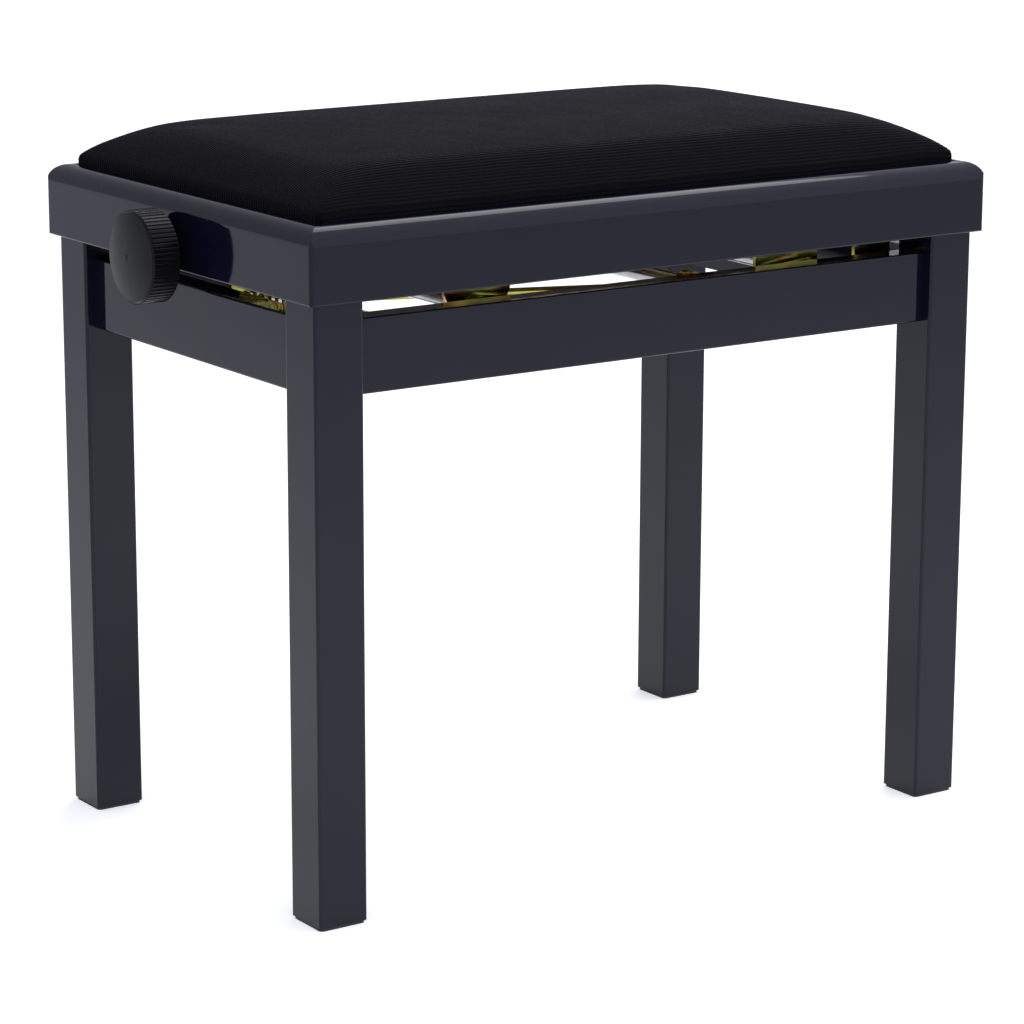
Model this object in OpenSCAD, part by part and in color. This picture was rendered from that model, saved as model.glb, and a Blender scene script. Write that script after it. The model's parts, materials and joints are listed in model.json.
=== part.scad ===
// Height-adjustable piano bench, drawn at its lowest setting.
// Millimetres, +Z up, X along the bench, front faces -Y.
// The origin is on the floor, under the middle of the seat.

/* [Seat] */
// Length of the seat frame along X
seat_len = 550; // [500:5:620]
// Depth of the seat frame along Y
seat_dep = 350; // [330:5:380]
// Height of the seat frame's underside above the floor when fully lowered
seat_low = 410; // [400:1:430]
// Height of the seat frame's rails
rail_h = 49; // [48:1:56]
// Thickness of the seat frame's rails
rail_t = 30; // [28:1:34]
// Radius of the rails' top outer edge
edge_r = 12.5; // [8:0.5:13]

/* [Cushion] */
// Distance from the frame's outer face to the cushion's edge
pad_inset = 14; // [14:0.5:18]
// Height of the cushion's side wall above the frame's top
pad_edge_rise = 6; // [2:0.5:8]
// Height gained over the cushion's sloping border
pad_slope_h = 21; // [14:1:30]
// Width of the sloping border
pad_slope_w = 52; // [40:1:80]
// Height of the middle of the cushion above its border
pad_dome = 6; // [2:0.5:12]

/* [Base] */
// Length over the legs along X
base_len = 538; // [490:1:610]
// Depth over the legs along Y
base_dep = 338; // [320:1:370]
// Side of the square legs
leg_w = 36; // [34:1:44]
// Height of the aprons
apron_h = 49; // [46:1:50]
// Thickness of the aprons
apron_t = 18; // [16:1:20]
// Distance from the legs' outer faces back to the aprons
apron_recess = 8; // [6:0.5:9]
// Distance from the leg tops down to the aprons
apron_drop = 13; // [12:0.5:16]
// Thickness of the glides under the legs
glide_t = 2; // [1.5:0.5:4]

/* [Lift] */
// X of the fixed pivots of the scissor arms
pivot_x = -120; // [-130:1:-110]
// Distance between the two end pivots of one scissor arm
arm_len = 272; // [262:1:280]
// Height of the lower pivots above the floor
low_pivot_z = 359; // [358:1:361]
// Height of the upper pivots above the lower ones when fully lowered
pivot_rise = 30; // [28:1:31]
// How far the seat rises to its highest setting
lift_h = 90; // [40:5:100]
// Distance from the spindle's axis up from the seat frame's underside
spindle_up = 10; // [10:0.5:12]
// Outer radius of the spindle's thread
spindle_r = 7; // [6:0.5:8]

/* [Knobs] */
// Outer radius of the knobs
knob_r = 31; // [26:0.5:34]
// Depth of the fluted rim
knob_rim = 19.5; // [16:0.5:24]
// Clear distance between a knob and the seat frame
knob_gap = 10.5; // [8:0.5:14]
// Height of the domed face over the rim
knob_dome = 2.6; // [1.5:0.1:4]
// Number of flutes around the rim
flutes = 60; // [36:2:72]

/* [Hidden] */
$fn = 96;
eps = 0.01;

// Clearances
rest_gap = 0.2;        // seat frame over the leg tops when lowered
run_fit = 0.05;        // radial play of a shaft in its hole
plate_gap = 0.5;       // between steel pieces that slide past each other
screw_gap = 0.1;       // radial play of a screw in its hole
pilot_gap = 0.02;      // radial play of a screw in its pilot hole
screw_r = 1.9;

// Seat
seat_top = seat_low + rail_h;
rebate_in = pad_inset; // outer face of the frame to the rebate's wall
board_t = 9;
board_low = seat_top - 22;
pad_low = board_low + board_t + 0.3;
pad_edge_z = seat_top + pad_edge_rise;
corner_r = 2.5;        // vertical corners of the seat frame
under_r = 1.2;         // lower outer arris of the seat frame
seat_block = 28;
seat_block_t = 24;
block_screw = 8;       // distance of a block's screw from the frame's inner faces

// Base
leg_top = seat_low - rest_gap;
leg_x = base_len / 2 - leg_w / 2;
leg_y = base_dep / 2 - leg_w / 2;
leg_r = 2;
apron_top = seat_low - apron_drop;
apron_low = apron_top - apron_h;
apron_out_x = base_len / 2 - apron_recess;
apron_out_y = base_dep / 2 - apron_recess;
apron_in_x = apron_out_x - apron_t;
apron_in_y = apron_out_y - apron_t;
apron_r = 1.5;         // outer long edges of the aprons
block_leg = 38;        // length of a corner block along each apron
block_h = 36;
block_z = apron_low + 4;
hanger_z = block_z + block_h / 2;
hanger_r = 3;
hanger_in = 16;        // how far the bolt goes into the leg
block_face = (apron_in_x + apron_in_y - block_leg) / sqrt(2);

// Lift: planes of the steel plates, as distances from the middle along Y
rail_web = 4;
arm_t = 4;
arm_w = 16;
ear_t = 3;
web_y = apron_in_y;                         // outer face of the lower rail
arm_a_y = web_y - rail_web - 2.2;           // outer face of the outer arm
arm_b_y = arm_a_y - arm_t - plate_gap;      // outer face of the inner arm
ear_y = arm_b_y - arm_t - plate_gap;        // outer face of the seat's ears
bar_y = ear_y - ear_t - plate_gap;          // end of the cross bars' full diameter
bar_r = 6;
journal_r = 4;
rod_r = 2.5;

up_pivot_z = low_pivot_z + pivot_rise;
rest_angle = asin(pivot_rise / arm_len);
top_angle = asin((pivot_rise + lift_h) / arm_len);
slide_x = pivot_x + arm_len * cos(rest_angle);
slide_x_top = pivot_x + arm_len * cos(top_angle);
slot_play = 2;
centre_x = (pivot_x + slide_x) / 2;
centre_z = (low_pivot_z + up_pivot_z) / 2;

web_low = apron_low + 2;
web_top = up_pivot_z - 9;
web_screw_z = low_pivot_z + 12;
web_x0 = pivot_x - 30;
web_x1 = slide_x + 13;
web_screws = [pivot_x + 30, centre_x, slide_x_top - 25];

ear_low = up_pivot_z - 9;
ear_r = 27;
hanger_low = seat_low - 6;                  // lower edge of the upper rail between ears
up_rail_x0 = pivot_x - 32;
up_rail_x1 = 230;
end_tab_x = 198;
end_tab_low = block_z + block_h + 4;
flange_w = 24;
flange_t = 3;
flange_screws = [pivot_x + 8, centre_x, slide_x + 30];

// Spindle and knobs
spindle_z = seat_low + spindle_up;
spindle_journal_r = 6;
knob_shaft_r = 5;
plate_t = 4;
plate_w = 48;
plate_h = 24;
plate_screw_y = 18;
plate_screw_z = spindle_z + 4;
end_in_x = seat_len / 2 - rail_t;           // inner face of the end rails
slot_r = 8;
knob_back = seat_len / 2 + knob_gap;
knob_front = knob_back + knob_rim;
hub_r = 12;
hub_clear = 0.6;
nut_w = 22;
nut_d = 28;
nut_low = up_pivot_z - 10;
nut_top = spindle_z + 12;

// Assist spring, from an anchor on the left apron to the lower sliding bar
spring_r = 6.6;
wire_r = 1.4;
spring_x0 = -apron_in_x + 9;
spring_z0 = 383;
spring_len = 82;
spring_turns = 16;
spring_slope = atan((spring_z0 - low_pivot_z) / (slide_x - spring_x0));
rod_reach = (slide_x - spring_x0) / cos(spring_slope) - spring_len;
plug_r = 5;
anchor_screws = [-21, 21];

corners = [[-1, -1, "front_left"], [1, -1, "front_right"], [-1, 1, "back_left"], [1, 1, "back_right"]];

// ---------- shared shapes ----------

// Rectangle centred on the origin with rounded corners.
module rounded_rect(w, d, r) {
    square([w - 2 * r, d], center = true);
    square([w, d - 2 * r], center = true);
    for (x = [-1, 1], y = [-1, 1])
        translate([x * (w / 2 - r), y * (d / 2 - r)]) circle(r);
}

// Cylinder along Y from y0 to y1 through the point (x, z).
module y_rod(x, z, r, y0, y1) {
    translate([x, y0, z]) rotate([-90, 0, 0]) cylinder(r = r, h = y1 - y0);
}

// Cylinder along X from x0 to x1 at height z on the middle plane.
module x_rod(x0, x1, z, r, y = 0) {
    translate([x0, y, z]) rotate([0, 90, 0]) cylinder(r = r, h = x1 - x0);
}

// A plate drawn in the XZ plane, from y0 to y0 + t.
module xz_plate(y0, t) {
    translate([0, y0 + t, 0]) rotate([90, 0, 0]) linear_extrude(t) children();
}

// Puts a front piece at the front, or mirrors it to the back.
module on_side(side) {
    if (side < 0) children();
    else mirror([0, 1, 0]) children();
}

// Button-head wood screw pointing along +Z, with its head below the origin.
module wood_screw(head_r, head_h, length) {
    translate([0, 0, -head_h]) cylinder(r = head_r, h = head_h);
    translate([0, 0, -eps]) cylinder(r = screw_r, h = length);
}

// Blind hole along +Z for a screw of the given length that starts at the origin.
module pilot(length) {
    translate([0, 0, -1]) cylinder(r = screw_r + pilot_gap, h = length + 1.5);
}

// Screw pointing along +Y from y0.
module y_screw(x, y0, z, length) {
    translate([x, y0, z]) rotate([-90, 0, 0]) wood_screw(4, 1.6, length);
}

// ---------- base ----------

// Places a shape at a corner; it is drawn for the corner at +X, +Y.
module at_corner(c) {
    mirror([c[0] < 0 ? 1 : 0, 0, 0]) mirror([0, c[1] < 0 ? 1 : 0, 0]) children();
}

// Axis of the hanger bolt, from inside the frame out towards the leg.
module along_hanger(start) {
    translate([0, 0, hanger_z]) rotate([0, 0, 45]) translate([start, 0, 0]) rotate([0, 90, 0]) children();
}

leg_corner = (leg_x + leg_y - leg_w) / sqrt(2);
hanger_shift = (leg_x - leg_y) / 2;

// Moves the diagonal of the bench's corner onto the diagonal through the origin.
module corner_frame() {
    translate([hanger_shift, -hanger_shift, 0]) children();
}

module leg(c) {
    color("#141416") at_corner(c) difference() {
        translate([leg_x, leg_y, glide_t]) linear_extrude(leg_top - glide_t) rounded_rect(leg_w, leg_w, leg_r);
        corner_frame() along_hanger(leg_corner - 1) cylinder(r = hanger_r + screw_gap, h = hanger_in + 1.5);
    }
}

module glide(c) {
    color("#0c0c0c") at_corner(c)
        translate([leg_x, leg_y, 0]) linear_extrude(glide_t) rounded_rect(leg_w - 2, leg_w - 2, 3);
}

// Apron between two legs, centred on its own length along X, with its outer face at y = 0.
module apron_bar(length) {
    translate([-length / 2, 0, apron_low]) rotate([90, 0, 90]) linear_extrude(length) {
        translate([apron_r, 0]) square([apron_t - apron_r, apron_h]);
        translate([0, apron_r]) square([apron_t, apron_h - 2 * apron_r]);
        for (z = [apron_r, apron_h - apron_r]) translate([apron_r, z]) circle(apron_r);
    }
}

module apron_long(side) {
    color("#141416") on_side(side) difference() {
        translate([0, -apron_out_y, 0]) apron_bar(base_len - 2 * leg_w);
        for (x = web_screws) translate([x, -apron_in_y, web_screw_z]) rotate([90, 0, 0]) pilot(12);
    }
}

// The left apron also carries the spring's anchor.
module apron_short(side) {
    color("#141416") difference() {
        mirror([side < 0 ? 0 : 1, 0, 0])
            translate([-apron_out_x, 0, 0]) rotate([0, 0, -90]) apron_bar(base_dep - 2 * leg_w);
        if (side < 0)
            for (y = anchor_screws) translate([-apron_in_x, y, spring_z0 - 2]) rotate([0, -90, 0]) pilot(12);
    }
}

module corner_block(c) {
    leg_in_x = leg_x - leg_w / 2;
    leg_in_y = leg_y - leg_w / 2;
    color("#b08d5f") at_corner(c) difference() {
        translate([0, 0, block_z]) linear_extrude(block_h) polygon([
            [apron_in_x, leg_in_y],
            [leg_in_x, leg_in_y],
            [leg_in_x, apron_in_y],
            [apron_in_x - block_leg, apron_in_y],
            [apron_in_x, apron_in_y - block_leg]
        ]);
        corner_frame() along_hanger(block_face - 10) cylinder(r = hanger_r + screw_gap, h = 60);
    }
}

module hanger_bolts() {
    color("#c9c08a") for (c = corners) at_corner(c) corner_frame()
        along_hanger(block_face - 8) cylinder(r = hanger_r, h = leg_corner + hanger_in - block_face + 8);
}

module hanger_washers() {
    color("#c9c08a") for (c = corners) at_corner(c) corner_frame() along_hanger(block_face - 1.6)
        difference() {
            cylinder(r = 8, h = 1.5);
            translate([0, 0, -1]) cylinder(r = hanger_r + screw_gap, h = 4);
        }
}

module hanger_nuts() {
    color("#c9c08a") for (c = corners) at_corner(c) corner_frame() along_hanger(block_face - 6.8)
        difference() {
            cylinder(r = 5.8, h = 5, $fn = 6);
            translate([0, 0, -1]) cylinder(r = hanger_r + screw_gap / 2, h = 7);
        }
}

// ---------- lift: rails on the base ----------

// Slot that the journal of a sliding bar runs in.
module slide_slot(z) {
    r = journal_r + run_fit;
    x0 = slide_x_top - slot_play;
    x1 = slide_x + slot_play;
    translate([x0, z - r]) square([x1 - x0, 2 * r]);
    for (x = [x0, x1]) translate([x, z]) circle(r);
}

module lower_rail(side) {
    color("#c9a94e") on_side(side) xz_plate(-web_y, rail_web) difference() {
        translate([web_x0, web_low]) square([web_x1 - web_x0, web_top - web_low]);
        translate([pivot_x, low_pivot_z]) circle(journal_r + run_fit);
        slide_slot(low_pivot_z);
        for (x = web_screws) translate([x, web_screw_z]) circle(screw_r + screw_gap);
    }
}

module lower_rail_screws() {
    color("#c9c08a") for (side = [-1, 1], x = web_screws) on_side(side)
        mirror([0, 1, 0]) y_screw(x, web_y - rail_web, web_screw_z, rail_web + 12);
}

// ---------- lift: arms and cross bars ----------

// Flat arm from the point (x0, z0) to (x1, z1), with a hole at each end and in the middle.
module arm_shape(x0, z0, x1, z1, end_r, mid_r) {
    slope = atan2(z1 - z0, x1 - x0);
    difference() {
        translate([x0, z0]) rotate(slope) {
            translate([0, -arm_w / 2]) square([arm_len, arm_w]);
            circle(arm_w / 2);
            translate([arm_len, 0]) circle(arm_w / 2);
        }
        for (p = [[x0, z0], [x1, z1]]) translate(p) circle(end_r);
        translate([(x0 + x1) / 2, (z0 + z1) / 2]) circle(mid_r);
    }
}

module outer_arm(side) {
    color("#c9a94e") on_side(side) xz_plate(-arm_a_y, arm_t)
        arm_shape(pivot_x, low_pivot_z, slide_x, up_pivot_z, journal_r + run_fit, journal_r + run_fit);
}

module inner_arm(side) {
    color("#c9a94e") on_side(side) xz_plate(-arm_b_y, arm_t)
        arm_shape(pivot_x, up_pivot_z, slide_x, low_pivot_z, journal_r + run_fit, journal_r + run_fit);
}

// Cross bar along Y: full diameter out to y_full, journals out to y_end.
module cross_bar(x, z, y_full, y_end) {
    y_rod(x, z, bar_r, -y_full, y_full);
    y_rod(x, z, journal_r, -y_end, y_end);
}

module lower_pivot_bar() {
    color("#b9b9b4") cross_bar(pivot_x, low_pivot_z, arm_a_y - arm_t - 0.1, web_y - 0.5);
}

module upper_slide_bar() {
    color("#b9b9b4") cross_bar(slide_x, up_pivot_z, bar_y, arm_a_y + 0.1);
}

module upper_pivot_bar() {
    color("#b9b9b4") cross_bar(pivot_x, up_pivot_z, bar_y, arm_b_y + 0.1);
}

module lower_slide_bar() {
    color("#b9b9b4") cross_bar(slide_x, low_pivot_z, arm_b_y - arm_t - 0.1, web_y - 0.5);
}

// Low dome nut on the outer face of an arm, with its flat face at y.
module dome_nut(x, z, y) {
    translate([x, -y, z]) rotate([90, 0, 0]) {
        cylinder(r = 7, h = 1.2);
        intersection() {
            cylinder(r = 6, h = 3, $fn = 6);
            translate([0, 0, -7]) sphere(r = 10);
        }
    }
}

module slide_bar_nuts() {
    color("#c9c08a") for (side = [-1, 1]) on_side(side) dome_nut(slide_x, up_pivot_z, arm_a_y + 0.15);
}

module pivot_bar_nuts() {
    color("#c9c08a") for (side = [-1, 1]) on_side(side) dome_nut(pivot_x, up_pivot_z, arm_b_y + 0.15);
}

module centre_pins() {
    color("#b9b9b4") for (side = [-1, 1]) on_side(side) {
        y_rod(centre_x, centre_z, journal_r, -arm_a_y + 0.2, -arm_b_y + arm_t + 1);
        y_rod(centre_x, centre_z, 8, -arm_b_y + arm_t + 0.1, -arm_b_y + arm_t + 2.6);
    }
}

module nut_block() {
    color("#b08d3c") difference() {
        translate([slide_x - nut_w / 2, -nut_d / 2, nut_low]) cube([nut_w, nut_d, nut_top - nut_low]);
        y_rod(slide_x, up_pivot_z, bar_r + run_fit, -nut_d, nut_d);
        x_rod(slide_x - nut_w, slide_x + nut_w, spindle_z, spindle_r + run_fit);
    }
}

// ---------- lift: assist spring ----------

// Turns a piece drawn along +X from the origin onto the spring's line.
module on_spring_line() {
    translate([spring_x0, 0, spring_z0]) rotate([0, spring_slope, 0]) children();
}

module spring_anchor() {
    color("#c9c08a") {
        translate([-apron_in_x, -28, spring_z0 - 14]) difference() {
            cube([3, 56, 24]);
            for (y = anchor_screws) translate([-1, y + 28, 12]) rotate([0, 90, 0]) cylinder(r = screw_r + screw_gap, h = 5);
        }
        x_rod(-apron_in_x + 2.9, spring_x0 - 1, spring_z0, 8);
        on_spring_line() translate([-2, 0, 0]) rotate([0, 90, 0]) cylinder(r = plug_r, h = 10);
    }
}

module spring_anchor_screws() {
    color("#c9c08a") for (y = anchor_screws) translate([-apron_in_x + 3, y, spring_z0 - 2])
        rotate([0, -90, 0]) wood_screw(4, 1.6, 15);
}

// Closed tube swept along a helix on the X axis.
module helix_tube(r, tube_r, turns, length, steps = 20, sides = 8) {
    n = turns * steps;
    rings = [for (i = [0 : n]) let (a = 360 * i / steps, x = tube_r + (length - 2 * tube_r) * i / n)
        [for (j = [0 : sides - 1]) let (b = 360 * j / sides, d = r + tube_r * cos(b))
            [x + tube_r * sin(b), d * cos(a), d * sin(a)]]];
    points = [for (ring = rings) each ring];
    sides_faces = [for (i = [0 : n - 1], j = [0 : sides - 1]) let (k = (j + 1) % sides)
        each [[i * sides + j, i * sides + k, (i + 1) * sides + k],
              [i * sides + j, (i + 1) * sides + k, (i + 1) * sides + j]]];
    start = [for (j = [sides - 1 : -1 : 0]) j];
    end = [for (j = [0 : sides - 1]) n * sides + j];
    polyhedron(points, concat(sides_faces, [start, end]));
}

module assist_spring() {
    color("#c9a94e") on_spring_line() helix_tube(spring_r, wire_r, spring_turns, spring_len);
}

// Pull rod from the spring to the lower sliding bar, with a ring around the bar.
module spring_rod() {
    color("#c9c08a") difference() {
        union() {
            on_spring_line() translate([spring_len - 8, 0, 0]) rotate([0, 90, 0]) cylinder(r = plug_r, h = 9);
            on_spring_line() translate([spring_len + 0.8, 0, 0]) rotate([0, 90, 0]) cylinder(r = 8, h = 3);
            on_spring_line() translate([spring_len, 0, 0]) rotate([0, 90, 0]) cylinder(r = rod_r, h = rod_reach - 7);
            y_rod(slide_x, low_pivot_z, 10, -5, 5);
        }
        y_rod(slide_x, low_pivot_z, bar_r + run_fit, -10, 10);
    }
}

// ---------- seat: rails that the arms hang on ----------

module upper_rail(side) {
    color("#c9a94e") on_side(side) {
        xz_plate(-ear_y, ear_t) difference() {
            union() {
                translate([up_rail_x0, hanger_low]) square([up_rail_x1 - up_rail_x0, board_low - hanger_low]);
                intersection() {
                    translate([pivot_x, ear_low + ear_r]) circle(ear_r);
                    translate([up_rail_x0, ear_low]) square([2 * ear_r + 10, hanger_low - ear_low + 5]);
                }
                translate([slide_x_top - 14, ear_low]) square([slide_x - slide_x_top + 28, hanger_low - ear_low + 5]);
                translate([end_tab_x, end_tab_low]) square([up_rail_x1 - end_tab_x, hanger_low - end_tab_low + 5]);
            }
            translate([pivot_x, up_pivot_z]) circle(journal_r + run_fit);
            slide_slot(up_pivot_z);
        }
        difference() {
            translate([up_rail_x0, -ear_y + ear_t - eps, board_low - flange_t])
                cube([up_rail_x1 - up_rail_x0, flange_w, flange_t]);
            for (x = flange_screws)
                translate([x, -ear_y + 15, board_low - 5]) cylinder(r = screw_r + screw_gap, h = 7);
        }
    }
}

module upper_rail_screws() {
    color("#c9c08a") for (side = [-1, 1], x = flange_screws) on_side(side)
        translate([x, -ear_y + 15, board_low - flange_t]) wood_screw(4, 1.6, 10);
}

// ---------- seat ----------

// Section of a frame rail: the outer face is at 0, and the rail goes inward along +X.
module rail_section() {
    difference() {
        union() {
            translate([under_r, 0]) square([rail_t - under_r, rail_h - edge_r]);
            translate([0, under_r]) square([rail_t, rail_h - edge_r - under_r]);
            translate([under_r, under_r]) circle(under_r);
            translate([edge_r, rail_h - edge_r - eps]) square([rail_t - edge_r, edge_r + eps]);
            translate([edge_r, rail_h - edge_r]) circle(edge_r);
        }
        translate([rebate_in, board_low - seat_low]) square([rail_t, rail_h]);
    }
}

// Mitred rail along X at the front of a frame of the given length and depth.
module mitred_rail(length, depth) {
    intersection() {
        translate([-length / 2, -depth / 2, seat_low]) rotate([90, 0, 90]) linear_extrude(length) rail_section();
        translate([0, 0, seat_low - 1]) linear_extrude(rail_h + 2) intersection() {
            polygon([
                [-length / 2, -depth / 2],
                [length / 2, -depth / 2],
                [length / 2 - 60, -depth / 2 + 60],
                [-length / 2 + 60, -depth / 2 + 60]
            ]);
            rounded_rect(length, depth, corner_r);
        }
    }
}

module seat_rail_long(side) {
    color("#141416") on_side(side) mitred_rail(seat_len, seat_dep);
}

// End rail, with a slot open at the bottom for the spindle.
module seat_rail_short(side) {
    color("#141416") mirror([side < 0 ? 0 : 1, 0, 0]) difference() {
        rotate([0, 0, -90]) mitred_rail(seat_dep, seat_len);
        x_rod(-seat_len / 2 - 1, -end_in_x + 1, spindle_z, slot_r);
        for (y = [-1, 1]) translate([-end_in_x, y * plate_screw_y, plate_screw_z]) rotate([0, -90, 0]) pilot(16);
        translate([-seat_len / 2 - 1, -slot_r, seat_low - 1]) cube([rail_t + 2, 2 * slot_r, spindle_up + 1]);
    }
}

module seat_corner_blocks() {
    x = end_in_x;
    y = seat_dep / 2 - rail_t;
    color("#b08d5f") for (c = corners) at_corner(c) difference() {
        translate([0, 0, board_low - seat_block_t]) linear_extrude(seat_block_t)
            polygon([[x, y], [x - seat_block, y], [x, y - seat_block]]);
        translate([x - block_screw, y - block_screw, board_low - seat_block_t]) pilot(seat_block_t);
    }
}

module seat_board() {
    color("#2b2724") translate([0, 0, board_low]) difference() {
        linear_extrude(board_t)
            rounded_rect(seat_len - 2 * rebate_in - 1, seat_dep - 2 * rebate_in - 1, 3);
        for (side = [-1, 1], x = flange_screws)
            translate([x, side * (ear_y - 15), 0]) pilot(6.7);
        for (c = corners) at_corner(c)
            translate([end_in_x - block_screw, seat_dep / 2 - rail_t - block_screw, 0]) pilot(6);
    }
}

module seat_board_screws() {
    color("#c9c08a") for (c = corners) at_corner(c)
        translate([end_in_x - block_screw, seat_dep / 2 - rail_t - block_screw, board_low - seat_block_t])
            wood_screw(4, 1.6, seat_block_t + 6);
}

// Share of the border's height that is reached at a distance d in from the cushion's edge.
function border(d) = 1 - pow(1 - min(d / pad_slope_w, 1), 1.7);

// Height of the cushion's top over its side wall, for u and v from -1 to 1.
function crown(u, v, length, depth) =
    pad_slope_h * border((1 - abs(u)) * length / 2) * border((1 - abs(v)) * depth / 2)
    + pad_dome * cos(90 * u) * cos(90 * v);

// Closed cushion: flat below, straight side wall, crowned top.
module crowned_pad(length, depth, low, edge, nx = 36, ny = 24) {
    function at(i, n) = sin(90 * (2 * i / n - 1));
    top = [for (j = [0 : ny], i = [0 : nx]) let (u = at(i, nx), v = at(j, ny))
        [u * length / 2, v * depth / 2, edge + crown(u, v, length, depth)]];
    base = [for (j = [0 : ny], i = [0 : nx]) [at(i, nx) * length / 2, at(j, ny) * depth / 2, low]];
    w = nx + 1;
    m = w * (ny + 1);
    quads = [for (j = [0 : ny - 1], i = [0 : nx - 1]) [j * w + i, j * w + i + 1, (j + 1) * w + i + 1, (j + 1) * w + i]];
    top_faces = [for (q = quads) each [[q[0], q[2], q[1]], [q[0], q[3], q[2]]]];
    base_faces = [for (q = quads) each [[m + q[0], m + q[1], m + q[2]], [m + q[0], m + q[2], m + q[3]]]];
    rim = concat(
        [for (i = [0 : nx - 1]) i],
        [for (j = [0 : ny - 1]) j * w + nx],
        [for (i = [nx : -1 : 1]) ny * w + i],
        [for (j = [ny : -1 : 1]) j * w]
    );
    wall = [for (k = [0 : len(rim) - 1]) let (a = rim[k], b = rim[(k + 1) % len(rim)])
        each [[a, b, m + b], [a, m + b, m + a]]];
    polyhedron(concat(top, base), concat(top_faces, base_faces, wall));
}

module seat_pad() {
    color("#1b1a20") crowned_pad(seat_len - 2 * pad_inset - 1.6, seat_dep - 2 * pad_inset - 1.6, pad_low, pad_edge_z);
}

// ---------- spindle, bearings and knobs ----------

module bearing_plate(side) {
    color("#b9b9b4") mirror([side < 0 ? 0 : 1, 0, 0]) difference() {
        translate([-end_in_x, -plate_w / 2, board_low - 1 - plate_h]) cube([plate_t, plate_w, plate_h]);
        x_rod(-end_in_x - 1, -end_in_x + plate_t + 1, spindle_z, spindle_journal_r + run_fit);
        for (y = [-1, 1])
            x_rod(-end_in_x - 1, -end_in_x + plate_t + 1, plate_screw_z, screw_r + screw_gap, y * plate_screw_y);
    }
}

module bearing_screws() {
    color("#c9c08a") for (side = [-1, 1], y = [-1, 1])
        mirror([side < 0 ? 0 : 1, 0, 0])
            translate([-end_in_x + plate_t, y * plate_screw_y, plate_screw_z])
                rotate([0, -90, 0]) wood_screw(4, 1.6, plate_t + 16);
}

module spindle() {
    shoulder = end_in_x - plate_t - 0.3;
    hub_start = seat_len / 2 + 1;
    color("#c9a94e") {
        x_rod(-shoulder, shoulder, spindle_z, spindle_r);
        x_rod(-hub_start, hub_start, spindle_z, spindle_journal_r);
        x_rod(-knob_front + 6, knob_front - 6, spindle_z, knob_shaft_r);
    }
}

// Outline of the fluted rim.
module fluted_disc(r) {
    difference() {
        circle(r);
        for (i = [0 : flutes - 1]) rotate(360 * i / flutes) translate([r + 0.35, 0]) circle(1, $fn = 24);
    }
}

// Knob drawn along +Z: hub at the back, fluted rim, domed face.
module knob_shape() {
    bevel = 1.2;
    face_r = knob_r - 1.2;
    dome_R = (face_r * face_r + knob_dome * knob_dome) / (2 * knob_dome);
    difference() {
        union() {
            translate([0, 0, hub_clear - knob_gap]) cylinder(r = hub_r, h = knob_gap);
            linear_extrude(knob_rim - bevel) fluted_disc(knob_r);
            rotate_extrude() polygon([
                [0, knob_rim - bevel - 1],
                [knob_r - 0.9, knob_rim - bevel - 1],
                [knob_r - 0.9, knob_rim - bevel],
                [face_r - 0.6, knob_rim],
                [0, knob_rim]
            ]);
            intersection() {
                translate([0, 0, knob_rim + knob_dome - dome_R]) sphere(r = dome_R, $fn = 128);
                translate([0, 0, knob_rim - 1]) cylinder(r = face_r - 0.6, h = knob_dome + 2);
            }
        }
        translate([0, 0, -knob_gap]) cylinder(r = knob_shaft_r + run_fit, h = knob_gap + knob_rim - 5);
        translate([0, 0, -knob_gap]) cylinder(r = spindle_journal_r + 0.2, h = 2);
        translate([0, 0, -knob_gap / 2]) rotate([0, 90, 0]) cylinder(r = 2, h = hub_r + 2);
    }
}

module knob(side) {
    color("#0f0f10") mirror([side < 0 ? 1 : 0, 0, 0])
        translate([knob_back, 0, spindle_z]) rotate([0, 90, 0]) knob_shape();
}

module knob_set_screws() {
    color("#8c8c88") for (side = [-1, 1]) mirror([side < 0 ? 1 : 0, 0, 0])
        translate([knob_back - knob_gap / 2, 0, spindle_z - hub_r]) cylinder(r = 1.9, h = hub_r - knob_shaft_r - 0.1);
}

leg(corners[0]);  // leg_front_left
leg(corners[1]);  // leg_front_right
leg(corners[2]);  // leg_back_left
leg(corners[3]);  // leg_back_right
glide(corners[0]);  // glide_front_left
glide(corners[1]);  // glide_front_right
glide(corners[2]);  // glide_back_left
glide(corners[3]);  // glide_back_right
apron_long(-1);  // apron_front
apron_long(1);  // apron_back
apron_short(-1);  // apron_left
apron_short(1);  // apron_right
corner_block(corners[0]);  // corner_block_front_left
corner_block(corners[1]);  // corner_block_front_right
corner_block(corners[2]);  // corner_block_back_left
corner_block(corners[3]);  // corner_block_back_right
hanger_bolts();
hanger_washers();
hanger_nuts();
lower_rail(-1);  // lower_rail_front
lower_rail(1);  // lower_rail_back
lower_rail_screws();
spring_anchor();
spring_anchor_screws();
assist_spring();
spring_rod();
outer_arm(-1);  // outer_arm_front
outer_arm(1);  // outer_arm_back
lower_pivot_bar();
upper_slide_bar();
slide_bar_nuts();
nut_block();
inner_arm(-1);  // inner_arm_front
inner_arm(1);  // inner_arm_back
centre_pins();
upper_pivot_bar();
pivot_bar_nuts();
lower_slide_bar();
upper_rail(-1);  // upper_rail_front
upper_rail(1);  // upper_rail_back
upper_rail_screws();
seat_rail_long(-1);  // seat_rail_front
seat_rail_long(1);  // seat_rail_back
seat_rail_short(-1);  // seat_rail_left
seat_rail_short(1);  // seat_rail_right
seat_corner_blocks();
seat_board();
seat_board_screws();
seat_pad();
bearing_plate(-1);  // bearing_plate_left
bearing_plate(1);  // bearing_plate_right
bearing_screws();
spindle();
knob(-1);  // knob_left
knob(1);  // knob_right
knob_set_screws();
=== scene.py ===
"""Looks for the height-adjustable piano bench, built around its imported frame."""
import json
import math

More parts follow.
